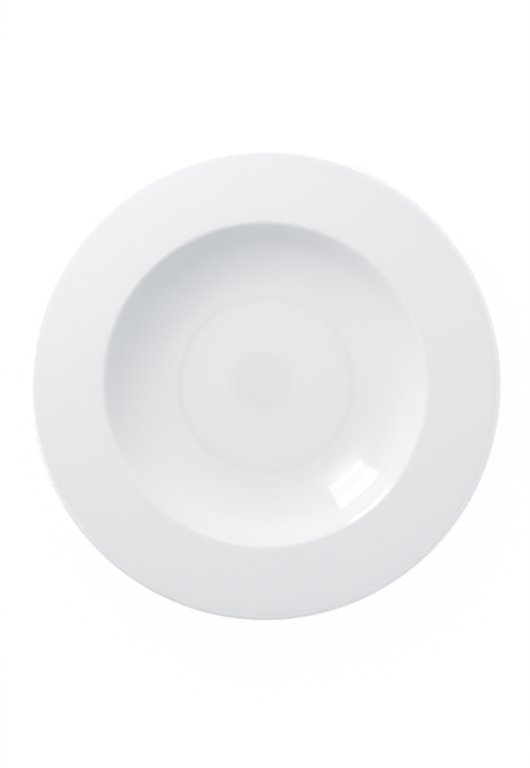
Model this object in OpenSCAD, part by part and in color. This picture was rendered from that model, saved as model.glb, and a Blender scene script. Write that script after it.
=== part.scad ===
// Rimmed soup plate: one fired porcelain body with the glaze fused to it.
// The plate stands on its foot ring, centred on the Z axis, with the table at z = 0.
// Lengths are in millimetres and angles in degrees.
// Each piece is one outline turned about the Z axis. An outline is made of arcs that meet
// at a tangent, and the straight stretches between them.

/* [Plate] */
// Diameter over the lip
plate_d = 240; // [220:1:290]
// Diameter of the well's mouth, where the shoulder meets the rim
well_d = 168; // [146:1:210]
// Diameter of the flat floor of the well
floor_d = 82; // [60:1:104]

/* [Well] */
// Radius of the soft edge round the flat floor
floor_edge_r = 120; // [40:5:160]
// Slope at the outer end of the floor's soft edge
floor_edge_angle = 4.5; // [2:0.5:7]
// Slope where the well's gentle bend meets the tighter one
floor_bend_angle = 27; // [20:1:34]
// Radius of the tighter bend below the wall
wall_bend_r = 28; // [14:1:40]
// Slope of the well's wall
wall_angle = 49; // [40:1:56]
// Length of the straight part of the wall, up its slope
wall_l = 8.4; // [3:0.2:14]
// Radius of the shoulder between the wall and the rim
shoulder_r = 4; // [2.5:0.5:8]
// Radius under the shoulder, in the corner of the wall and the rim
under_shoulder_r = 5; // [3:0.5:8]
// Thickness of the wall, glaze included
wall_t = 4.4; // [3.6:0.1:5.2]

/* [Rim] */
// Rise of the rim towards the lip
rim_angle = 6; // [3:0.5:10]
// How much steeper the rim's underside rises than its face
rim_taper_angle = 1; // [0:0.25:2]
// Radius of the round lip
lip_r = 1.9; // [1.5:0.1:2.5]

/* [Foot ring] */
// How far the foot ring stands out past the flat floor, on the radius
foot_out = 11; // [4:0.5:14]
// Width of the foot ring at the table, glaze included
foot_w = 4; // [3:0.25:6]
// Draft of the foot ring's two sides
foot_draft = 10; // [4:1:16]
// Radius of the cove between the foot ring and the plate
foot_cove_r = 2.5; // [1.5:0.25:3.5]
// Radius of the bare rest face's two edges
foot_edge_r = 0.6; // [0.3:0.1:0.9]
// Height of the recess inside the foot ring, at its edge
recess_h = 3.4; // [2.6:0.1:5]
// How much higher the recess is at its middle
recess_rise = 0.4; // [0.2:0.1:1]
// Thickness of the floor at the recess's edge, glaze included
floor_t = 4.8; // [4:0.1:6]

/* [Glaze] */
// Thickness of the glaze
glaze_t = 0.3; // [0.2:0.05:0.45]
// Height of the bare clay between the table and the glaze
bare_h = 1; // [0.8:0.1:1.6]

/* [Smoothness] */
// Largest gap between an arc and the chords that stand for it
chord_gap = 0.01; // [0.005:0.005:0.03]

/* [Hidden] */
$fn = 180;

// Radii and heights that follow from the sizes above
plate_r = plate_d / 2;
mouth_r = well_d / 2;
floor_r = floor_d / 2;
foot_r = floor_r + foot_out;
floor_z = recess_h + floor_t;
under_rim_angle = rim_angle + rim_taper_angle;

// Width that an arc of radius r takes while its slope goes from one angle to another
function arc_w(r, from, to) = r * abs(sin(to) - sin(from));

// Radius of the well's gentle bend, which fills the width that the other arcs and the wall leave
floor_bend_w = mouth_r - floor_r - arc_w(floor_edge_r, 0, floor_edge_angle)
    - arc_w(wall_bend_r, floor_bend_angle, wall_angle) - wall_l * cos(wall_angle)
    - arc_w(shoulder_r, wall_angle, rim_angle);
floor_bend_r = floor_bend_w / arc_w(1, floor_edge_angle, floor_bend_angle);

// Unit vector at an angle from the radial direction
function unit(a) = [cos(a), sin(a)];

// The right-hand side of a line that runs at an angle: the clay's side of a face's line, and
// the air's side of an underside's line
function right_of(a) = unit(a - 90);

// Point on the line through p at angle a that has the given radius
function at_radius(p, a, r) = p + unit(a) * (r - p.x) / cos(a);

// Point on the line through p at angle a that has the given height
function at_height(p, a, z) = p + unit(a) * (z - p.y) / sin(a);

// Where the line through p at angle a meets the line through q at angle b
function meet(p, a, q, b) = p + unit(a) * cross(q - p, unit(b)) / cross(unit(a), unit(b));

// Point on the line through p at angle a, forwards of p's nearest point to c, at distance d from c
function at_distance(p, a, c, d) =
    let (along = (c - p) * unit(a), aside = norm(c - p - unit(a) * along))
    p + unit(a) * (along + sqrt(d * d - aside * aside));

// Points of an arc about c, closer together on a tight one
function arc(c, r, from, to) =
    let (n = max(2, ceil(abs(to - from) / (2 * acos(1 - chord_gap / max(r, chord_gap))))))
    [for (i = [0 : n]) c + r * unit(from + (to - from) * i / n)];

// Centres of the face's arcs, from the floor outwards
edge_c = [floor_r, floor_z + floor_edge_r];
floor_c = edge_c + (floor_edge_r - floor_bend_r) * unit(floor_edge_angle - 90);
wall_c = floor_c + (floor_bend_r - wall_bend_r) * unit(floor_bend_angle - 90);
wall_p = wall_c + wall_bend_r * right_of(wall_angle);
shoulder_c = wall_p + wall_l * unit(wall_angle) + shoulder_r * right_of(wall_angle);
rim_p = shoulder_c - shoulder_r * right_of(rim_angle);
lip_c = at_radius(rim_p + lip_r * right_of(rim_angle), rim_angle, plate_r - lip_r);

// Centres of the underside's arcs, from the lip inwards
under_rim_p = lip_c + (lip_r + under_shoulder_r) * right_of(under_rim_angle);
under_wall_p = wall_c + (wall_bend_r + wall_t + under_shoulder_r) * right_of(wall_angle);
under_shoulder_c = meet(under_rim_p, under_rim_angle, under_wall_p, wall_angle);

// The foot ring's outer side, its cove, and the slope where the cove meets the plate
side_out_a = 90 - foot_draft;
side_out_p = [foot_r, 0];
cove_out_c = at_distance(side_out_p + foot_cove_r * right_of(side_out_a), side_out_a - 180,
    floor_c, floor_bend_r + wall_t + foot_cove_r);
cove_out_a = atan((cove_out_c.x - floor_c.x) / (floor_c.y - cove_out_c.y));

// The recess's dome, the foot ring's inner side and the cove between them
side_in_a = 90 + foot_draft;
side_in_p = [foot_r - foot_w, 0];
dome_r = (side_in_p.x * side_in_p.x + recess_rise * recess_rise) / (2 * recess_rise);
dome_c = [0, recess_h + recess_rise - dome_r];
cove_in_c = at_distance(side_in_p - foot_cove_r * right_of(side_in_a), side_in_a,
    dome_c, dome_r - foot_cove_r);
cove_in_a = atan2(cove_in_c.y - dome_c.y, cove_in_c.x - dome_c.x);

// The main glaze's line at a depth below its surface: from the axis over the floor, the wall,
// the rim and the lip, and back under them to the foot ring's outer side
function main_line(depth) = concat(
    [[0, floor_z - depth]],
    arc(edge_c, floor_edge_r + depth, -90, floor_edge_angle - 90),
    arc(floor_c, floor_bend_r + depth, floor_edge_angle - 90, floor_bend_angle - 90),
    arc(wall_c, wall_bend_r + depth, floor_bend_angle - 90, wall_angle - 90),
    arc(shoulder_c, shoulder_r - depth, wall_angle + 90, rim_angle + 90),
    arc(lip_c, lip_r - depth, rim_angle + 90, under_rim_angle - 90),
    arc(under_shoulder_c, under_shoulder_r + depth, under_rim_angle + 90, wall_angle + 90),
    arc(wall_c, wall_bend_r + wall_t - depth, wall_angle - 90, floor_bend_angle - 90),
    arc(floor_c, floor_bend_r + wall_t - depth, floor_bend_angle - 90, cove_out_a - 90),
    arc(cove_out_c, foot_cove_r + depth, cove_out_a + 90, side_out_a + 90)
);

// The base glaze's line at a depth below its surface: from the foot ring's inner side to the axis
function base_line(depth) = concat(
    arc(cove_in_c, foot_cove_r + depth, side_in_a - 90, cove_in_a),
    arc(dome_c, dome_r + depth, cove_in_a, 90)
);

// Lines of the foot ring's sides at a depth below the glaze's surface
function side_out(depth) = side_out_p - depth * right_of(side_out_a);
function side_in(depth) = side_in_p + depth * right_of(side_in_a);

// The bare foot: its two edges, with the rest face between them
edge_out_c = at_height(side_out(glaze_t + foot_edge_r), side_out_a, foot_edge_r);
edge_in_c = at_height(side_in(glaze_t + foot_edge_r), side_in_a, foot_edge_r);
foot_line = concat(
    arc(edge_out_c, foot_edge_r, side_out_a - 90, -90),
    arc(edge_in_c, foot_edge_r, -90, side_in_a - 270)
);

// A list of points from its end to its start
function backwards(list) = [for (i = [len(list) - 1 : -1 : 0]) list[i]];

// The fired clay: rim, well and foot ring in one piece
module porcelain_body() {
    color("#f3f0ea")
        rotate_extrude()
            polygon(concat(main_line(glaze_t), foot_line, base_line(glaze_t)));
}

// The glaze over the face, the lip and the underside, down to the bare foot
module main_glaze() {
    end_out = at_height(side_out(0), side_out_a, bare_h);
    end_in = at_height(side_out(glaze_t), side_out_a, bare_h);
    color("#e6e8eb")
        rotate_extrude()
            polygon(concat(main_line(0), [end_out, end_in], backwards(main_line(glaze_t))));
}

// The glaze in the recess inside the foot ring
module base_glaze() {
    end_out = at_height(side_in(glaze_t), side_in_a, bare_h);
    end_in = at_height(side_in(0), side_in_a, bare_h);
    color("#dfe2e5")
        rotate_extrude()
            polygon(concat([end_out, end_in], base_line(0), backwards(base_line(glaze_t))));
}

porcelain_body();
main_glaze();
base_glaze();
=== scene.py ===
"""Rimmed soup plate: its fired body and glaze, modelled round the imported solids, and its stage."""
import math
from typing import NamedTuple

import bpy
from bpy.props import FloatProperty, FloatVectorProperty, IntProperty, PointerProperty
from bpy.types import Operator, Panel, PropertyGroup
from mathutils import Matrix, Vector


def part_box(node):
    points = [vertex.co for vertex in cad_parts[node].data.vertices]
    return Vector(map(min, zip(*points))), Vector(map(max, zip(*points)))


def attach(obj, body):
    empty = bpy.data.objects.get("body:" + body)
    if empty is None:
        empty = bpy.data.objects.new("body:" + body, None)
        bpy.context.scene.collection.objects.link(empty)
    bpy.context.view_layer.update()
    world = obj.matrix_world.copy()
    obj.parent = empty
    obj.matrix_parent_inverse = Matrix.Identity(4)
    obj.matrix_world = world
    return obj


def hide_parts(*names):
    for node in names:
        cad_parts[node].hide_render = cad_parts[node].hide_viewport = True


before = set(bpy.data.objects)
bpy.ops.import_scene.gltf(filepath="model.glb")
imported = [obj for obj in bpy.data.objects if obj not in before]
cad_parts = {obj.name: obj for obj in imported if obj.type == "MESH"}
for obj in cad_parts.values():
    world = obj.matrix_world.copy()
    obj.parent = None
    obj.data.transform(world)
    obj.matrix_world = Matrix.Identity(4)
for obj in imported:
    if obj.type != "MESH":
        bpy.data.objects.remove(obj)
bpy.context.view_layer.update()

bl_info = {
    "name": "Rimmed Soup Plate",
    "version": (1, 0, 0),
    "blender": (4, 5, 0),
    "location": "View3D > Sidebar > Soup Plate",
    "description": "Models a glazed porcelain soup plate and its studio stage",
    "category": "Add Mesh",
}

GLAZE_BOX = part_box("main_glaze")

QUARTER_TURN = math.pi / 2
WHITE = (1, 1, 1)

# Vertices this near are merged at a spun seam and its poles. No real feature is so small.
MERGE_GAP = 1e-6
# How near a vertex has to lie to a place at which it is picked
PICK_GAP = 5e-5


def length_setting(name, description, default, least=0.0, most=10.0):
    """A setting in metres."""
    return FloatProperty(
        name=name, description=description, default=default, min=least, max=most,
        subtype="DISTANCE", precision=6)


def amount_setting(name, description, default, least=0.0, most=10000.0):
    """A setting without a unit, or in the unit that its description gives."""
    return FloatProperty(
        name=name, description=description, default=default, min=least, max=most, precision=4)


def angle_setting(name, description, degrees):
    """A setting that is an angle."""
    return FloatProperty(
        name=name, description=description, default=math.radians(degrees), subtype="ANGLE")


def colour_setting(name, description, default):
    """A setting that is a colour."""
    return FloatVectorProperty(
        name=name, description=description, default=default, min=0, max=1, subtype="COLOR")


class PlateSizes(PropertyGroup):
    """Sizes of the plate's section, from the axis to the lip and back to the foot ring."""

    plate_radius: length_setting(
        "Plate radius", "Radius over the lip", default=GLAZE_BOX[1].x, least=0.11, most=0.145)
    mouth_radius: length_setting(
        "Mouth radius", "Radius at which the shoulder meets the rim",
        default=0.084, least=0.073, most=0.105)
    floor_radius: length_setting(
        "Floor radius", "Radius of the flat floor of the well",
        default=0.041, least=0.03, most=0.052)
    floor_edge_radius: length_setting(
        "Floor edge", "Radius of the soft edge round the flat floor",
        default=0.12, least=0.04, most=0.16)
    floor_edge_angle: angle_setting(
        "Floor edge slope", "Slope at the outer end of the floor's soft edge", degrees=4.5)
    floor_bend_angle: angle_setting(
        "Bend slope", "Slope where the gentle bend meets the tighter one", degrees=27)
    wall_bend_radius: length_setting(
        "Wall bend", "Radius of the tighter bend below the wall",
        default=0.028, least=0.014, most=0.04)
    wall_angle: angle_setting("Wall slope", "Slope of the well's wall", degrees=49)
    wall_length: length_setting(
        "Wall length", "Length of the straight part of the wall, up its slope",
        default=0.0084, least=0.003, most=0.014)
    shoulder_radius: length_setting(
        "Shoulder", "Radius of the shoulder between the wall and the rim",
        default=0.004, least=0.0025, most=0.008)
    under_shoulder_radius: length_setting(
        "Under shoulder", "Radius in the corner under the wall and the rim",
        default=0.005, least=0.003, most=0.008)
    wall_thickness: length_setting(
        "Wall thickness", "Thickness of the wall, glaze included",
        default=0.0044, least=0.0036, most=0.0052)
    rim_angle: angle_setting("Rim slope", "Rise of the rim towards the lip", degrees=6)
    rim_taper_angle: angle_setting(
        "Rim taper", "How much steeper the underside of the rim rises", degrees=1)
    lip_radius: length_setting(
        "Lip", "Radius of the round lip", default=0.0019, least=0.0015, most=0.0025)
    foot_out: length_setting(
        "Foot ring out", "How far the foot ring stands out past the flat floor",
        default=0.011, least=0.004, most=0.014)
    foot_width: length_setting(
        "Foot ring width", "Width of the foot ring at the table",
        default=0.004, least=0.003, most=0.006)
    foot_draft: angle_setting("Foot ring draft", "Lean of the foot ring's two sides", degrees=10)
    foot_cove_radius: length_setting(
        "Foot cove", "Radius between the foot ring and the plate",
        default=0.0025, least=0.0015, most=0.0035)
    foot_edge_radius: length_setting(
        "Foot edge", "Radius of the bare rest face's two edges",
        default=0.0006, least=0.0003, most=0.0009)
    recess_height: length_setting(
        "Recess height", "Height of the recess inside the foot ring, at its edge",
        default=0.0034, least=0.0026, most=0.005)
    recess_rise: length_setting(
        "Recess rise", "How much higher the recess is at its middle",
        default=0.0004, least=0.0002, most=0.001)
    floor_thickness: length_setting(
        "Floor thickness", "Thickness of the floor at the recess's edge",
        default=0.0048, least=0.004, most=0.006)
    glaze_thickness: length_setting(
        "Glaze thickness", "Thickness of the glaze", default=0.0003, least=0.0002, most=0.00045)
    bare_height: length_setting(
        "Bare height", "Height of the bare clay between the table and the glaze",
        default=0.001, least=0.0008, most=0.0016)
    margin_wander: length_setting(
        "Margin wander", "Height over which the glaze's edge wanders on the foot",
        default=0.0005, most=0.0007)
    margin_round: length_setting(
        "Margin round", "How far the glaze's edge is rounded off",
        default=0.00018, least=0.00005, most=0.00025)
    margin_swing: length_setting(
        "Margin swing", "Length over which the glaze's edge wanders",
        default=0.014, least=0.004, most=0.04)
    margin_step: length_setting(
        "Margin step", "Longest stretch between two points beside the margin",
        default=0.0006, least=0.0002, most=0.003)
    arc_step: length_setting(
        "Arc step", "Longest stretch between two points of an arc",
        default=0.0009, least=0.0003, most=0.003)
    line_step: length_setting(
        "Line step", "Longest stretch between two points of a straight line",
        default=0.0036, least=0.001, most=0.02)
    arc_turn: angle_setting("Arc turn", "Largest turn between two points of an arc", degrees=8)
    segments: IntProperty(
        name="Segments", description="Segments round the plate", default=256, min=64, max=360)


class PlateFinish(PropertyGroup):
    """Colours of the glaze and of the bare clay, and the size and strength of their marks."""

    glaze_colour: colour_setting(
        "Glaze", "Colour of the glaze over the clay", (0.802, 0.808, 0.818))
    glaze_roughness: amount_setting(
        "Glaze roughness", "Roughness of the smoothest glaze", default=0.022, most=0.3)
    smear_size: length_setting(
        "Smear size", "Size of the patches in the glaze's roughness", default=0.012, least=0.001)
    smear_strength: amount_setting(
        "Smear", "How much the glaze's roughness varies", default=0.01, most=0.1)
    mottle_size: length_setting(
        "Mottle size", "Size of the clouds in the glaze's tone", default=0.035, least=0.001)
    mottle_strength: amount_setting(
        "Mottle", "How much pooled colour the clouds hold", default=0.12, most=1)
    pooled_colour: colour_setting(
        "Pooled glaze", "Colour where the glaze lies thickest", (0.765, 0.773, 0.785))
    pool_strength: amount_setting(
        "Pool", "How much pooled colour the foot ring's outer cove holds", default=0.8, most=1)
    pool_height: length_setting("Pool height", "Height above which the pooled colour fades", 0.003)
    pool_top: length_setting("Pool top", "Height at which the pooled colour is gone", 0.0045)
    pool_fade: length_setting(
        "Pool fade", "Width over which the pooled colour fades, on either side", 0.001)
    # Painted light: a lighter colour laid on the lip's upward face, which stands for light that the
    # lip lacks
    painted_lip_light_colour: colour_setting(
        "Painted lip light", "Colour of the painted light on the lip, where it faces up", (0.865, 0.868, 0.871))
    painted_lip_light_start: length_setting(
        "Lip light start", "How far in from the lip the painted light begins", 0.0052)
    painted_lip_light_end: length_setting(
        "Lip light end", "How far in from the lip the painted light is strongest", 0.001)
    speck_colour: colour_setting(
        "Specks", "Colour of the rare specks that iron leaves in the firing", (0.33, 0.28, 0.23))
    speck_spacing: length_setting(
        "Speck spacing", "Size of the cells that may hold a speck in the glaze",
        default=0.016, least=0.001)
    speck_radius: length_setting("Speck radius", "Radius of a speck in the glaze", 0.00016)
    pinhole_spacing: length_setting(
        "Pinhole spacing", "Size of the cells that may hold a pinhole", default=0.021, least=0.001)
    pinhole_radius: length_setting("Pinhole radius", "Radius of a pinhole", 0.00022)
    pinhole_depth: length_setting("Pinhole depth", "Depth of a pinhole", 0.00002)
    dull_start: length_setting(
        "Dull start", "How far outside the flat floor its duller edge begins", 0.0012)
    dull_end: length_setting(
        "Dull end", "How far outside the flat floor its duller edge ends", 0.0032)
    dull_fade: length_setting(
        "Dull fade", "Width over which the duller edge fades, on either side", 0.002)
    edge_dullness: amount_setting(
        "Edge dullness", "How much duller the glaze is at the edge of the floor",
        default=0.055, most=0.3)
    swell_size: length_setting(
        "Swell size", "Size of the glaze's long, soft swells", default=0.024, least=0.001)
    swell_height: length_setting(
        "Swell", "Height of the glaze's long, soft swells", default=0.00003, most=0.0002)
    turning_count: amount_setting(
        "Turning count", "Turning marks to a metre of radius", default=420, least=1)
    turning_height: length_setting(
        "Turning marks", "Height of the turning marks on the underside",
        default=0.000006, most=0.00005)
    clay_colour: colour_setting("Bare clay", "Colour of the ground foot ring", (0.8, 0.775, 0.73))
    clay_roughness: amount_setting(
        "Clay roughness", "Roughness of the smoothest bare clay", default=0.72, most=1)
    cloud_size: length_setting(
        "Cloud size", "Size of the clouds in the bare clay's tone", default=0.009, least=0.001)
    cloud_strength: amount_setting(
        "Clouds", "How much duller the bare clay is in its clouds", default=0.2, most=0.28)
    scorched_colour: colour_setting(
        "Scorched clay", "Colour of the clay beside the glaze's edge", (0.68, 0.585, 0.475))
    scorch_width: length_setting(
        "Scorched width", "Width of the scorched line below the glaze's edge", 0.0002)
    grain_size: length_setting(
        "Grain size", "Size of the bare clay's grain", default=0.0004, least=0.0001)
    grain_height: length_setting("Grain", "Height of the bare clay's grain", 0.00002)
    grinding_count: amount_setting(
        "Grinding count", "Grinding marks to a metre of radius", default=6000, least=1)
    grinding_height: length_setting(
        "Grinding marks", "Height of the grinding marks on the rest face", 0.00001)


class PlateStage(PropertyGroup):
    """The studio: table, air, lamps, lens hood and camera."""

    table_radius: length_setting("Table radius", "Radius of the table", default=3, least=1)
    table_colour: colour_setting("Table colour", "Colour of the table", (0.85, 0.85, 0.85))
    table_white: amount_setting(
        "White table", "Share of the table that shows plain white", default=0.985, most=1)
    table_glow: amount_setting(
        "Table glow", "Strength of the light that the open table throws back", 0.15)
    table_glow_start: length_setting(
        "Table glow start", "Radius from which the table throws light back", 0.13)
    table_glow_full: length_setting(
        "Table glow full", "Radius from which that light is at full strength", 0.195)
    under_glow: amount_setting(
        "Glow under the foot", "Strength of the light that lights the recess", 0.28)
    air_colour: colour_setting("Air", "Colour of the light from all round", (0.865, 0.939, 1))
    air_strength: amount_setting("Air strength", "Strength of the light from all round", 0.531)
    lamp_colour: colour_setting("Soft lamps", "Colour of the soft lamps", (1, 0.934, 0.892))
    lamp_aim: length_setting(
        "Soft lamps' aim", "Height above the table at which the soft lamps aim", 0.02)
    window_azimuth: angle_setting(
        "Window azimuth", "Direction in which the window stands", degrees=131.5)
    window_out: length_setting(
        "Window out", "Distance of the window from the plate's axis", default=0.55, least=0.2)
    window_width: length_setting("Window width", "Width of the window", default=0.199, least=0.01)
    window_bottom: length_setting("Window bottom", "Height of the window's lower edge", 0.01)
    window_top: length_setting(
        "Window top", "Height of the window's upper edge", default=0.846, least=0.1)
    window_power: amount_setting("Window power", "Power of the window, in watts", 1.5)
    glow_slope: angle_setting(
        "Glow slope", "Slope of the well's bend where it mirrors the glow lamps", degrees=15.5)
    glow_turn: angle_setting(
        "Glow turn", "How far round from the window the glow lamps hang", degrees=2)
    glow_distance: length_setting(
        "Glow distance", "Distance of the glow lamps from where they are mirrored",
        default=1.2, least=0.3)
    glow_size: length_setting("Glow size", "Diameter of a glow lamp", default=0.46, least=0.05)
    glow_spread: angle_setting(
        "Glow spread", "Spread of a glow lamp's beam, which softens its edge", degrees=20)
    edge_light_out: length_setting(
        "Edge light out", "Distance of the edge lights from the plate's axis",
        default=0.25, least=0.15)
    edge_light_width: length_setting(
        "Edge light width", "Width of an edge light", default=0.26, least=0.01)
    edge_light_bottom: length_setting(
        "Edge light bottom", "Height of an edge light's lower edge", 0.002)
    edge_light_top: length_setting(
        "Edge light top", "Height of an edge light's upper edge, below the lip",
        default=0.024, least=0.004)
    camera_height: length_setting(
        "Camera height", "Height of the camera above the table", default=1.5, least=0.4)
    picture_pixels: IntProperty(
        name="Picture height", description="Height of the picture, in pixels",
        default=768, min=16)
    plate_pixels: amount_setting(
        "Plate in the picture", "Radius of the plate in the picture, in pixels",
        default=235.6, least=10)
    off_middle: FloatVectorProperty(
        name="Off the middle", description="How far the camera is off the plate's axis, in pixels",
        default=(-0.46, 0.71), size=2)
    hood_radius: length_setting(
        "Hood radius", "Radius of the dark hood round the lens", default=0.032, least=0.01)
    hood_shift: FloatVectorProperty(
        name="Hood shift", description="How far the hood's middle lies off the camera's",
        default=(-0.0033, 0.0022), size=2, subtype="XYZ", unit="LENGTH", precision=4)
    hood_rise: length_setting("Hood rise", "How far above the camera's height the hood lies", 0.01)
    hood_colour: colour_setting("Hood", "Colour of the lens hood", (0.01, 0.01, 0.01))


def unit(angle):
    """Unit vector of the section at an angle from the radial direction."""
    return Vector((math.cos(angle), math.sin(angle)))


def right_of(angle):
    """Unit vector to the right of a line that runs at an angle."""
    return unit(angle - QUARTER_TURN)


def at_height(point, angle, height):
    """Where the line through a point at an angle reaches a height."""
    return point + unit(angle) * (height - point.y) / math.sin(angle)


def at_radius(point, angle, radius):
    """Where the line through a point at an angle reaches a radius."""
    return point + unit(angle) * (radius - point.x) / math.cos(angle)


def meeting(point, angle, other, other_angle):
    """Where two lines meet."""
    along = unit(angle)
    across = unit(other_angle)
    return point + along * (other - point).cross(across) / along.cross(across)


def at_distance(point, angle, centre, distance):
    """Where the line through a point at an angle leaves a circle."""
    to_centre = centre - point
    along = to_centre.dot(unit(angle))
    aside = (to_centre - unit(angle) * along).length
    return point + unit(angle) * (along + math.sqrt(distance**2 - aside**2))


class Section:
    """Centres and slopes of the arcs that make up half the plate's section."""

    def __init__(self, s):
        self.floor_z = s.recess_height + s.floor_thickness
        self.foot_radius = s.floor_radius + s.foot_out
        self.under_rim_angle = s.rim_angle + s.rim_taper_angle
        bend_width = (
            s.mouth_radius - s.floor_radius
            - s.floor_edge_radius * math.sin(s.floor_edge_angle)
            - s.wall_bend_radius * (math.sin(s.wall_angle) - math.sin(s.floor_bend_angle))
            - s.wall_length * math.cos(s.wall_angle)
            - s.shoulder_radius * (math.sin(s.wall_angle) - math.sin(s.rim_angle)))
        self.floor_bend_radius = bend_width / (
            math.sin(s.floor_bend_angle) - math.sin(s.floor_edge_angle))

        self.edge = Vector((s.floor_radius, self.floor_z + s.floor_edge_radius))
        self.floor_bend = self.edge + right_of(s.floor_edge_angle) * (
            s.floor_edge_radius - self.floor_bend_radius)
        self.wall_bend = self.floor_bend + right_of(s.floor_bend_angle) * (
            self.floor_bend_radius - s.wall_bend_radius)
        wall = self.wall_bend + right_of(s.wall_angle) * s.wall_bend_radius
        self.shoulder = (
            wall + unit(s.wall_angle) * s.wall_length
            + right_of(s.wall_angle) * s.shoulder_radius)
        rim = self.shoulder - right_of(s.rim_angle) * s.shoulder_radius
        self.lip = at_radius(
            rim + right_of(s.rim_angle) * s.lip_radius, s.rim_angle,
            s.plate_radius - s.lip_radius)

        under_rim = self.lip + right_of(self.under_rim_angle) * (
            s.lip_radius + s.under_shoulder_radius)
        under_wall = self.wall_bend + right_of(s.wall_angle) * (
            s.wall_bend_radius + s.wall_thickness + s.under_shoulder_radius)
        self.under_shoulder = meeting(
            under_rim, self.under_rim_angle, under_wall, s.wall_angle)

        self.outer_side_angle = QUARTER_TURN - s.foot_draft
        self.outer_side = Vector((self.foot_radius, 0))
        self.outer_cove = at_distance(
            self.outer_side + right_of(self.outer_side_angle) * s.foot_cove_radius,
            self.outer_side_angle - math.pi, self.floor_bend,
            self.floor_bend_radius + s.wall_thickness + s.foot_cove_radius)
        self.outer_cove_angle = math.atan(
            (self.outer_cove.x - self.floor_bend.x) / (self.floor_bend.y - self.outer_cove.y))

        self.inner_side_angle = QUARTER_TURN + s.foot_draft
        self.inner_side = Vector((self.foot_radius - s.foot_width, 0))
        self.dome_radius = (
            (self.inner_side.x**2 + s.recess_rise**2) / (2 * s.recess_rise))
        self.dome = Vector((0, s.recess_height + s.recess_rise - self.dome_radius))
        self.inner_cove = at_distance(
            self.inner_side - right_of(self.inner_side_angle) * s.foot_cove_radius,
            self.inner_side_angle, self.dome, self.dome_radius - s.foot_cove_radius)
        to_cove = self.inner_cove - self.dome
        self.inner_cove_angle = math.atan2(to_cove.y, to_cove.x)

    def bend_at(self, slope):
        """Point of the well's gentle bend at which the face has a slope."""
        return self.floor_bend + right_of(slope) * self.floor_bend_radius

    def outer_side_at(self, depth, height):
        """Point of the foot ring's outer side at a depth below the glaze's surface."""
        start = self.outer_side - right_of(self.outer_side_angle) * depth
        return at_height(start, self.outer_side_angle, height)

    def inner_side_at(self, depth, height):
        """Point of the foot ring's inner side at a depth below the glaze's surface."""
        start = self.inner_side + right_of(self.inner_side_angle) * depth
        return at_height(start, self.inner_side_angle, height)


class SectionPen:
    """Draws a section in edit mode, one extruded or spun vertex after another."""

    def __init__(self, name, sizes, start):
        self.sizes = sizes
        self.place = start
        bpy.ops.object.select_all(action="DESELECT")
        # The first vertex is a small plane that is merged into its middle
        bpy.ops.mesh.primitive_plane_add(
            size=sizes.glaze_thickness, location=(start.x, 0, start.y))
        bpy.ops.object.transform_apply(location=True, rotation=False, scale=False)
        self.piece = bpy.context.object
        self.piece.name = name
        self.piece.data.name = name
        bpy.ops.object.mode_set(mode="EDIT")
        bpy.ops.mesh.select_mode(type="VERT")
        bpy.ops.mesh.select_all(action="SELECT")
        bpy.ops.mesh.merge(type="CENTER")

    def line(self, end, step=None):
        """Extrudes the last vertex along a straight line, in equal steps."""
        way = end - self.place
        count = max(1, math.ceil(way.length / (step or self.sizes.line_step)))
        move = way / count
        for _ in range(count):
            bpy.ops.mesh.extrude_vertices_move(
                TRANSFORM_OT_translate={"value": (move.x, 0, move.y)})
        self.place = end

    def arc(self, centre, radius, start, end):
        """Goes straight to an arc's start, and spins the last vertex to the arc's end."""
        first = centre + unit(start) * radius
        if (first - self.place).length > MERGE_GAP:
            self.line(first)
        turn = end - start
        steps = max(
            math.ceil(abs(turn) * radius / self.sizes.arc_step),
            math.ceil(abs(turn) / self.sizes.arc_turn))
        bpy.ops.mesh.spin(
            steps=steps, angle=turn, center=(centre.x, 0, centre.y), axis=(0, 1, 0))
        self.place = centre + unit(end) * radius

    def spin_round(self):
        """Spins the section round the axis into one skin with a closed seam and closed poles."""
        bpy.ops.mesh.select_all(action="SELECT")
        bpy.ops.mesh.spin(
            steps=self.sizes.segments, angle=2 * math.pi, center=(0, 0, 0), axis=(0, 0, 1))
        bpy.ops.mesh.select_all(action="SELECT")
        bpy.ops.mesh.remove_doubles(threshold=MERGE_GAP)
        bpy.ops.mesh.normals_make_consistent(inside=False)
        bpy.ops.object.mode_set(mode="OBJECT")
        return self.piece


def draw_face(pen, section, depth):
    """Draws the floor, wall, rim, lip and underside as far as the foot ring's outer cove."""
    s = pen.sizes
    # Seen from its centre, an arc lies a quarter turn below or above the angle of its slope
    down = -QUARTER_TURN
    up = QUARTER_TURN
    under = section.under_rim_angle
    pen.arc(section.edge, s.floor_edge_radius + depth, down, s.floor_edge_angle + down)
    pen.arc(
        section.floor_bend, section.floor_bend_radius + depth,
        s.floor_edge_angle + down, s.floor_bend_angle + down)
    pen.arc(
        section.wall_bend, s.wall_bend_radius + depth,
        s.floor_bend_angle + down, s.wall_angle + down)
    pen.arc(section.shoulder, s.shoulder_radius - depth, s.wall_angle + up, s.rim_angle + up)
    pen.arc(section.lip, s.lip_radius - depth, s.rim_angle + up, under + down)
    pen.arc(
        section.under_shoulder, s.under_shoulder_radius + depth, under + up, s.wall_angle + up)
    pen.arc(
        section.wall_bend, s.wall_bend_radius + s.wall_thickness - depth,
        s.wall_angle + down, s.floor_bend_angle + down)
    pen.arc(
        section.floor_bend, section.floor_bend_radius + s.wall_thickness - depth,
        s.floor_bend_angle + down, section.outer_cove_angle + down)
    pen.arc(
        section.outer_cove, s.foot_cove_radius + depth,
        section.outer_cove_angle + up, section.outer_side_angle + up)


def draw_recess(pen, section, depth):
    """Draws the foot ring's inner cove and the recess, which rises evenly to the axis."""
    pen.arc(
        section.inner_cove, pen.sizes.foot_cove_radius + depth,
        section.inner_side_angle - QUARTER_TURN, section.inner_cove_angle)
    pen.line(Vector((0, section.dome.y + section.dome_radius + depth)))


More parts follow.
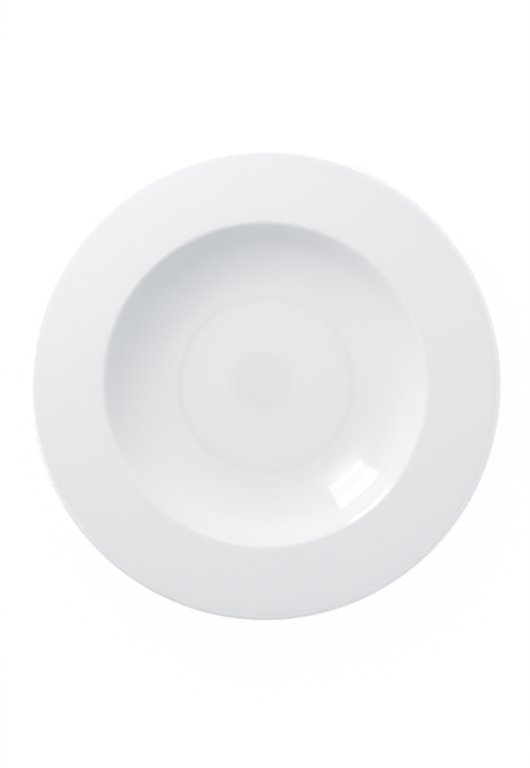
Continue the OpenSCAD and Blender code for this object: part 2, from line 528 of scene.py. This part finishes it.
def pick_ring(piece, radius, height, slack=PICK_GAP):
    """Selects the edges of one ring, within a slack of its height, and stays in edit mode."""
    bpy.ops.object.mode_set(mode="EDIT")
    bpy.ops.mesh.select_mode(type="VERT")
    bpy.ops.mesh.select_all(action="DESELECT")
    bpy.ops.object.mode_set(mode="OBJECT")
    found = 0
    for vertex in piece.data.vertices:
        out = math.hypot(vertex.co.x, vertex.co.y)
        if abs(out - radius) < PICK_GAP and abs(vertex.co.z - height) < slack:
            vertex.select = True
            found += 1
    if not found:
        raise RuntimeError(f"{piece.name} has no ring at radius {radius} and height {height}")
    bpy.ops.object.mode_set(mode="EDIT")
    bpy.ops.mesh.select_mode(type="EDGE")


def set_ride(piece, node, material):
    """Gives a finished piece its material and hands it to the frame in place of its solid."""
    piece.data.materials.clear()
    piece.data.materials.append(material)
    bpy.ops.object.shade_smooth()
    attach(piece, "root")
    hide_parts(node)


class Wire:
    """A shader socket with a value, so that maths on it is written as an expression."""

    def __init__(self, bench, socket):
        self.bench = bench
        self.socket = socket

    def __add__(self, other):
        return self.bench.maths("ADD", self, other)

    __radd__ = __add__

    def __sub__(self, other):
        return self.bench.maths("SUBTRACT", self, other)

    def __rsub__(self, other):
        return self.bench.maths("SUBTRACT", other, self)

    def __mul__(self, other):
        return self.bench.maths("MULTIPLY", self, other)

    def __pow__(self, power):
        return self.bench.maths("POWER", self, power)


class Bench:
    """Lays out the nodes of one material or world."""

    def __init__(self, tree):
        self.tree = tree
        tree.nodes.clear()

    def node(self, kind, settings=None, inputs=None, output=0):
        """Adds a node, sets it up, feeds its sockets and returns one of its outputs, if any."""
        made = self.tree.nodes.new(kind)
        for name, value in (settings or {}).items():
            setattr(made, name, value)
        for key, value in (inputs or {}).items():
            socket = made.inputs[key]
            if isinstance(value, Wire):
                self.tree.links.new(value.socket, socket)
            elif socket.type == "RGBA" and len(value) == 3:
                socket.default_value = (*value, 1)
            else:
                socket.default_value = value
        return Wire(self, made.outputs[output]) if made.outputs else None

    def maths(self, operation, first, second):
        """Does one sum on two values."""
        return self.node("ShaderNodeMath", {"operation": operation}, {0: first, 1: second})

    def part(self, vector, axis):
        """One component of a vector."""
        return self.node("ShaderNodeSeparateXYZ", None, {"Vector": vector}, axis)

    def ramp(self, value, start, end):
        """Rises softly from 0 to 1 while a value goes from its start to its end."""
        return self.node(
            "ShaderNodeMapRange", {"interpolation_type": "SMOOTHSTEP"},
            {"Value": value, "From Min": start, "From Max": end})

    def band(self, value, start, end, fade):
        """Is 1 between two values, and falls softly to 0 outside them."""
        return self.ramp(value, start - fade, start) * (1 - self.ramp(value, end, end + fade))

    def blend(self, share, first, second):
        """Mixes two colours."""
        return self.node(
            "ShaderNodeMix", {"data_type": "RGBA"}, {0: share, 6: first, 7: second}, 2)

    def noise(self, place, size, detail=2.0, roughness=0.5):
        """Soft noise round 0.5 with bumps about as long as a size."""
        return self.node(
            "ShaderNodeTexNoise", None,
            {"Vector": place, "Scale": 1 / size, "Detail": detail, "Roughness": roughness})

    def rings(self, radius, count, detail):
        """Soft noise round 0.5 in rings round the axis, so many to a metre of radius."""
        return self.node(
            "ShaderNodeTexNoise", {"noise_dimensions": "1D"},
            {"W": radius, "Scale": count, "Detail": detail})

    def specks(self, place, spacing, radius, share):
        """Round specks of a radius, in a share of the cells of a loose grid."""
        inputs = {"Vector": place, "Scale": 1 / spacing}
        distance = self.node("ShaderNodeTexVoronoi", None, inputs, "Distance")
        cell = self.node("ShaderNodeTexVoronoi", None, inputs, "Color")
        chance = self.node("ShaderNodeSeparateColor", None, {"Color": cell})
        kept = self.maths("LESS_THAN", chance, share)
        end = radius / spacing
        fade_start = 0.6 * end
        return (1 - self.ramp(distance, fade_start, end)) * kept

    def seen(self):
        """Is 1 for what the camera sees, straight, mirrored or through glass, and else 0."""
        kinds = ("Is Camera Ray", "Is Glossy Ray", "Is Transmission Ray")
        rays = sum(self.node("ShaderNodeLightPath", output=kind) for kind in kinds)
        return self.maths("MINIMUM", rays, 1.0)


def place_on(bench):
    """Object coordinates with their radius and height."""
    place = bench.node("ShaderNodeTexCoord", output="Object")
    x, y, z = (bench.part(place, axis) for axis in "XYZ")
    return place, (x * x + y * y) ** 0.5, z


def new_material(name):
    """An empty material and the bench on which its nodes are laid out."""
    material = bpy.data.materials.new(name)
    material.use_nodes = True
    return material, Bench(material.node_tree)


def finish_material(bench, colour, roughness, height):
    """Joins a colour, a roughness and a height in metres to the surface."""
    normal = bench.node("ShaderNodeBump", None, {"Height": height, "Distance": 1.0})
    shader = bench.node(
        "ShaderNodeBsdfPrincipled", None,
        {"Base Color": colour, "Roughness": roughness, "Normal": normal})
    bench.node("ShaderNodeOutputMaterial", None, {"Surface": shader})


def glaze_material(name, finish, sizes, section):
    """Clear white glaze: it pools beside the foot, has painted light on the lip and swells softly.
    """
    material, bench = new_material(name)
    place, radius, height = place_on(bench)
    facing_up = bench.part(bench.node("ShaderNodeTexCoord", output="Normal"), "Z")
    mottle = bench.noise(place, finish.mottle_size, detail=3.0)

    pool_end = section.foot_radius + sizes.foot_cove_radius
    pool = (
        bench.band(radius, section.foot_radius, pool_end, finish.pool_fade)
        * (1 - bench.ramp(height, finish.pool_height, finish.pool_top)))
    # Painted light: near the lip, the colour is blended towards a lighter one where the face looks
    # up
    lip_light_facing_up = bench.ramp(facing_up, 0.0, 0.7)
    painted_lip_light = lip_light_facing_up * bench.ramp(
        radius, sizes.plate_radius - finish.painted_lip_light_start, sizes.plate_radius - finish.painted_lip_light_end)
    colour = bench.blend(
        pool * finish.pool_strength * (mottle + 0.4), finish.glaze_colour, finish.pooled_colour)
    colour = bench.blend(painted_lip_light, colour, finish.painted_lip_light_colour)
    colour = bench.blend(
        bench.ramp(mottle, 0.45, 0.75) * finish.mottle_strength, colour, finish.pooled_colour)
    specks = bench.specks(place, finish.speck_spacing, finish.speck_radius, share=0.16)
    colour = bench.blend(specks * 0.6, colour, finish.speck_colour)

    # The underside below the floor stays clear of the duller edge
    on_face = bench.ramp(height, section.floor_z - 0.002, section.floor_z - 0.001)
    floor_edge = on_face * bench.band(
        radius, sizes.floor_radius + finish.dull_start, sizes.floor_radius + finish.dull_end,
        finish.dull_fade)
    smear = bench.noise(place, finish.smear_size) * finish.smear_strength
    roughness = smear + finish.glaze_roughness + floor_edge * finish.edge_dullness

    swell = bench.noise(place, finish.swell_size, detail=1.0)
    turning = bench.rings(radius, finish.turning_count, detail=2.0)
    underside = 1 - bench.ramp(facing_up, -0.3, 0.0)
    pinholes = bench.specks(place, finish.pinhole_spacing, finish.pinhole_radius, share=0.2)
    relief = (
        swell * finish.swell_height
        + turning * underside * finish.turning_height
        - pinholes * finish.pinhole_depth)
    finish_material(bench, colour, roughness, relief)
    return material


def clay_material(name, finish, sizes):
    """Bare fired clay: ground in rings on the rest face, and scorched beside the glaze."""
    material, bench = new_material(name)
    place, radius, height = place_on(bench)
    grain = bench.noise(place, finish.grain_size, detail=3.0, roughness=0.65)
    cloud = bench.noise(place, finish.cloud_size, detail=3.0)

    # The scorched line runs on under the glaze, so that it shows wherever the edge wanders
    scorch_start = sizes.bare_height - finish.scorch_width
    scorch_end = sizes.bare_height + 0.0006
    scorch_fade = 0.0003
    scorched = bench.band(height, scorch_start, scorch_end, scorch_fade) * (cloud + 0.1)
    colour = bench.blend(scorched, finish.clay_colour, finish.scorched_colour)
    colour = bench.blend(bench.ramp(grain, 0.5, 0.8) * 0.25, colour, finish.scorched_colour)
    specks = bench.specks(place, spacing=0.0035, radius=0.0002, share=0.35)
    colour = bench.blend(specks * 0.7, colour, finish.speck_colour)

    roughness = cloud * finish.cloud_strength + finish.clay_roughness

    grinding = bench.rings(radius, finish.grinding_count, detail=3.0)
    rest_face = 1 - bench.ramp(height, 0.00005, 0.0002)
    relief = grain * finish.grain_height + grinding * rest_face * finish.grinding_height
    finish_material(bench, colour, roughness, relief)
    return material


class SOUPPLATE_OT_fired_body(Operator):
    """Model the fired clay body, with the bare foot ring"""

    bl_idname = "soupplate.fired_body"
    bl_label = "Fired Body"

    def execute(self, context):
        sizes = context.scene.plate_sizes
        section = Section(sizes)
        depth = sizes.glaze_thickness
        edge = sizes.foot_edge_radius
        pen = SectionPen("fired_body", sizes, Vector((0, section.floor_z - depth)))
        draw_face(pen, section, depth)
        pen.arc(
            section.outer_side_at(depth + edge, edge), edge,
            section.outer_side_angle - QUARTER_TURN, -QUARTER_TURN)
        pen.arc(
            section.inner_side_at(depth + edge, edge), edge,
            -QUARTER_TURN, section.inner_side_angle - 3 * QUARTER_TURN)
        draw_recess(pen, section, depth)
        piece = pen.spin_round()
        set_ride(
            piece, "porcelain_body",
            clay_material("bare_clay", context.scene.plate_finish, sizes))
        return {"FINISHED"}


def coat(piece, sizes, margin):
    """Lets a skin's edge wander, gives the skin its thickness and rounds the edge."""
    group_name = "margin"
    pick_ring(piece, margin.x, margin.y)
    bpy.ops.object.vertex_group_add()
    piece.vertex_groups.active.name = group_name
    bpy.context.tool_settings.vertex_group_weight = 1
    bpy.ops.object.vertex_group_assign()
    bpy.ops.object.mode_set(mode="OBJECT")

    wander = piece.modifiers.new("wander", "DISPLACE")
    wander.texture = bpy.data.textures.new("margin_wander", "CLOUDS")
    wander.texture.noise_scale = sizes.margin_swing
    wander.texture.noise_depth = 1
    wander.texture_coords = "LOCAL"
    wander.direction = "Z"
    wander.strength = sizes.margin_wander
    wander.vertex_group = group_name
    bpy.ops.object.modifier_apply(modifier=wander.name)

    thickness = piece.modifiers.new("thickness", "SOLIDIFY")
    thickness.thickness = sizes.glaze_thickness
    thickness.offset = -1
    bpy.ops.object.modifier_apply(modifier=thickness.name)

    pick_ring(piece, margin.x, margin.y, sizes.margin_wander)
    bpy.ops.mesh.bevel(
        offset=sizes.margin_round, offset_type="OFFSET", segments=4, profile=0.5, affect="EDGES")
    bpy.ops.object.mode_set(mode="OBJECT")


class SOUPPLATE_OT_main_glaze(Operator):
    """Model the glaze over the face, the lip and the underside"""

    bl_idname = "soupplate.main_glaze"
    bl_label = "Main Glaze"

    def execute(self, context):
        sizes = context.scene.plate_sizes
        section = Section(sizes)
        margin = section.outer_side_at(0, sizes.bare_height)
        pen = SectionPen("main_glaze_coat", sizes, Vector((0, section.floor_z)))
        draw_face(pen, section, 0)
        pen.line(margin, sizes.margin_step)
        piece = pen.spin_round()
        coat(piece, sizes, margin)
        set_ride(
            piece, "main_glaze",
            glaze_material("white_glaze", context.scene.plate_finish, sizes, section))
        return {"FINISHED"}


class SOUPPLATE_OT_recess_glaze(Operator):
    """Model the glaze in the recess inside the foot ring"""

    bl_idname = "soupplate.recess_glaze"
    bl_label = "Recess Glaze"

    def execute(self, context):
        sizes = context.scene.plate_sizes
        section = Section(sizes)
        margin = section.inner_side_at(0, sizes.bare_height)
        pen = SectionPen("recess_glaze_coat", sizes, margin)
        draw_recess(pen, section, 0)
        piece = pen.spin_round()
        coat(piece, sizes, margin)
        set_ride(
            piece, "base_glaze",
            glaze_material("recess_glaze", context.scene.plate_finish, sizes, section))
        return {"FINISHED"}


def add_disc(name, radius, place, vertices):
    """A flat disc, alone in the selection."""
    bpy.ops.object.select_all(action="DESELECT")
    bpy.ops.mesh.primitive_circle_add(
        vertices=vertices, radius=radius, fill_type="NGON", location=place)
    disc = bpy.context.object
    disc.name = name
    return disc


def add_table(stage, section):
    """A round white table that keeps a faint shadow, and is clear from below."""
    table = add_disc("table", stage.table_radius, (0, 0, 0), vertices=128)
    material, bench = new_material("table_white")
    radius = place_on(bench)[1]
    open_table = bench.ramp(radius, stage.table_glow_start, stage.table_glow_full)
    foot_fade = 0.001
    under_foot = 1 - bench.ramp(radius, section.foot_radius - foot_fade, section.foot_radius)
    glow = bench.node(
        "ShaderNodeEmission", None,
        {"Color": WHITE,
         "Strength": open_table * stage.table_glow + under_foot * stage.under_glow})
    matt = bench.node("ShaderNodeBsdfDiffuse", None, {"Color": stage.table_colour})
    lit = bench.node("ShaderNodeAddShader", None, {0: matt, 1: glow})
    white = bench.node("ShaderNodeEmission", None, {"Color": WHITE})
    top = bench.node(
        "ShaderNodeMixShader", None, {0: bench.seen() * stage.table_white, 1: lit, 2: white})
    clear = bench.node("ShaderNodeBsdfTransparent")
    below = bench.node("ShaderNodeNewGeometry", output="Backfacing")
    surface = bench.node("ShaderNodeMixShader", None, {0: below, 1: top, 2: clear})
    bench.node("ShaderNodeOutputMaterial", None, {"Surface": surface})
    table.data.materials.append(material)


def add_air(stage):
    """Soft light from all round, and a white background."""
    world = bpy.data.worlds.new("air")
    bpy.context.scene.world = world
    world.use_nodes = True
    bench = Bench(world.node_tree)
    soft = bench.node(
        "ShaderNodeBackground", None,
        {"Color": stage.air_colour, "Strength": stage.air_strength})
    white = bench.node("ShaderNodeBackground", None, {"Color": WHITE})
    surface = bench.node("ShaderNodeMixShader", None, {0: bench.seen(), 1: soft, 2: white})
    bench.node("ShaderNodeOutputWorld", None, {"Surface": surface})


def add_lamp(name, place, aim, size, power, matt=True, polish=True, shape="RECTANGLE"):
    """A flat lamp that faces a point and lights the matt surface, its polish or both.

    The camera doesn't see the lamp itself. Its size is a width and a height.
    """
    bpy.ops.object.light_add(type="AREA", location=place)
    lamp = bpy.context.object
    lamp.name = name
    lamp.data.name = name
    lamp.data.shape = shape
    lamp.data.size, lamp.data.size_y = size
    lamp.data.energy = power
    lamp.visible_camera = False
    lamp.visible_diffuse = matt
    lamp.visible_glossy = polish
    lamp.rotation_euler = (Vector(aim) - Vector(place)).to_track_quat("-Z", "Y").to_euler()
    return lamp


def round_the_plate(azimuth, out, height):
    """A place at an azimuth and a distance from the plate's axis."""
    return Vector((out * math.cos(azimuth), out * math.sin(azimuth), height))


class SoftLamp(NamedTuple):
    """A square lamp for the matt side of the surface, aimed at the plate's middle.

    It hangs so many degrees round from the window and down from the zenith. Its distance and
    size are in metres and its power is in watts.
    """

    turn: float
    zenith: float
    distance: float
    size: float
    power: float


SOFT_LAMPS = {
    "main_key": SoftLamp(turn=0, zenith=52, distance=0.7, size=0.26, power=0.65),
    "low_key": SoftLamp(turn=0, zenith=66, distance=0.6, size=0.22, power=1.06),
    "near_key": SoftLamp(turn=0, zenith=45, distance=0.42, size=0.16, power=0.28),
    "back_top_fill": SoftLamp(turn=-60, zenith=35, distance=0.7, size=0.3, power=0.535),
    "back_low_fill": SoftLamp(turn=-60, zenith=77, distance=0.6, size=0.2, power=0.2),
    "right_fill": SoftLamp(turn=-150, zenith=52, distance=0.7, size=0.26, power=0.545),
    "right_near_fill": SoftLamp(turn=-120, zenith=73, distance=0.36, size=0.13, power=0.1),
    "left_low_fill": SoftLamp(turn=60, zenith=77, distance=0.6, size=0.2, power=0.6),
}

# The lamps whose reflections make the soft glow beside the window's: the angle down from the
# zenith in degrees, and the power in watts
GLOW_LAMPS = {
    "near_glow": (36, 0.013),
    "middle_glow": (29, 0.0095),
    "far_glow": (22, 0.0045),
}

# The low lamps that light the lip on its dark side: the azimuth in degrees and the power in watts
EDGE_LIGHTS = {
    "right_edge_light": (-5, 0.022),
    "front_right_edge_light": (-45, 0.05),
    "front_edge_light": (-85, 0.05),
}


def add_window(stage):
    """The upright window whose reflection stands in the wall of the well."""
    middle = (stage.window_top + stage.window_bottom) / 2
    add_lamp(
        "window_shine", round_the_plate(stage.window_azimuth, stage.window_out, middle),
        (0, 0, middle), (stage.window_width, stage.window_top - stage.window_bottom),
        stage.window_power, matt=False)


def add_glow_lamps(stage, section):
    """The faint round lamps that the well's bend mirrors beside the window."""
    spot = section.bend_at(stage.glow_slope)
    aim = round_the_plate(stage.window_azimuth + math.pi, spot.x, spot.y)
    azimuth = stage.window_azimuth + stage.glow_turn
    for name, (zenith, power) in GLOW_LAMPS.items():
        zenith = math.radians(zenith)
        place = round_the_plate(
            azimuth, stage.glow_distance * math.sin(zenith) - spot.x,
            stage.glow_distance * math.cos(zenith))
        lamp = add_lamp(
            name, place, aim, (stage.glow_size, stage.glow_size), power, matt=False, shape="DISK")
        lamp.data.spread = stage.glow_spread


def add_edge_lights(stage):
    """Low, level lamps that stand below the lip's height, so they don't reach into the well."""
    middle = (stage.edge_light_top + stage.edge_light_bottom) / 2
    size = (stage.edge_light_width, stage.edge_light_top - stage.edge_light_bottom)
    for name, (azimuth, power) in EDGE_LIGHTS.items():
        place = round_the_plate(math.radians(azimuth), stage.edge_light_out, middle)
        add_lamp(name, place, (0, 0, middle), size, power, polish=False)


def add_soft_lamps(stage):
    """The soft lamps round the plate."""
    for name, soft in SOFT_LAMPS.items():
        azimuth = stage.window_azimuth + math.radians(soft.turn)
        zenith = math.radians(soft.zenith)
        place = round_the_plate(
            azimuth, soft.distance * math.sin(zenith), soft.distance * math.cos(zenith))
        lamp = add_lamp(
            name, place, (0, 0, stage.lamp_aim), (soft.size, soft.size), soft.power, polish=False)
        lamp.data.color = stage.lamp_colour


def add_camera(stage, sizes, section):
    """A camera above the plate that looks straight down, as in the photograph."""
    pixel = sizes.plate_radius / stage.plate_pixels
    distance = stage.camera_height - section.lip.y
    data = bpy.data.cameras.new("camera")
    data.angle = 2 * math.atan(stage.picture_pixels / 2 * pixel / distance)
    data.clip_start = 0.01
    camera = bpy.data.objects.new("camera", data)
    bpy.context.scene.collection.objects.link(camera)
    camera.location = (*(Vector(stage.off_middle) * pixel), stage.camera_height)
    bpy.context.scene.camera = camera
    return camera


def add_lens_hood(camera, stage):
    """A dark hood round the lens, which only the plate's polish mirrors."""
    place = camera.location + Vector((*stage.hood_shift, stage.hood_rise))
    hood = add_disc("lens_hood", stage.hood_radius, place, vertices=64)
    material, bench = new_material("hood_black")
    matt = bench.node("ShaderNodeBsdfDiffuse", None, {"Color": stage.hood_colour})
    bench.node("ShaderNodeOutputMaterial", None, {"Surface": matt})
    hood.data.materials.append(material)
    hood.visible_camera = False
    hood.visible_diffuse = False
    hood.visible_shadow = False


class SOUPPLATE_OT_stage(Operator):
    """Set the table, the light and the camera"""

    bl_idname = "soupplate.stage"
    bl_label = "Stage"

    def execute(self, context):
        stage = context.scene.plate_stage
        sizes = context.scene.plate_sizes
        section = Section(sizes)
        add_table(stage, section)
        add_air(stage)
        add_window(stage)
        add_glow_lamps(stage, section)
        add_edge_lights(stage)
        add_soft_lamps(stage)
        camera = add_camera(stage, sizes, section)
        add_lens_hood(camera, stage)
        context.scene.view_settings.view_transform = "Standard"
        return {"FINISHED"}


class SOUPPLATE_PT_panel(Panel):
    """Lists the plate's pieces, its stage and their settings"""

    bl_label = "Soup Plate"
    bl_idname = "SOUPPLATE_PT_panel"
    bl_space_type = "VIEW_3D"
    bl_region_type = "UI"
    bl_category = "Soup Plate"

    def draw(self, context):
        for operator in OPERATORS:
            self.layout.operator(operator.bl_idname)
        for group_name in GROUPS:
            group = getattr(context.scene, group_name)
            box = self.layout.box()
            for name in group.__annotations__:
                box.prop(group, name)


OPERATORS = (
    SOUPPLATE_OT_fired_body,
    SOUPPLATE_OT_main_glaze,
    SOUPPLATE_OT_recess_glaze,
    SOUPPLATE_OT_stage,
)
GROUPS = {
    "plate_sizes": PlateSizes,
    "plate_finish": PlateFinish,
    "plate_stage": PlateStage,
}
CLASSES = (*GROUPS.values(), *OPERATORS, SOUPPLATE_PT_panel)


def register():
    for cls in CLASSES:
        bpy.utils.register_class(cls)
    for name, group in GROUPS.items():
        setattr(bpy.types.Scene, name, PointerProperty(type=group))


def unregister():
    for name in GROUPS:
        delattr(bpy.types.Scene, name)
    for cls in reversed(CLASSES):
        bpy.utils.unregister_class(cls)


def main():
    register()
    bpy.ops.soupplate.fired_body()
    bpy.ops.soupplate.main_glaze()
    bpy.ops.soupplate.recess_glaze()
    bpy.ops.soupplate.stage()


if __name__ == "__main__":
    main()
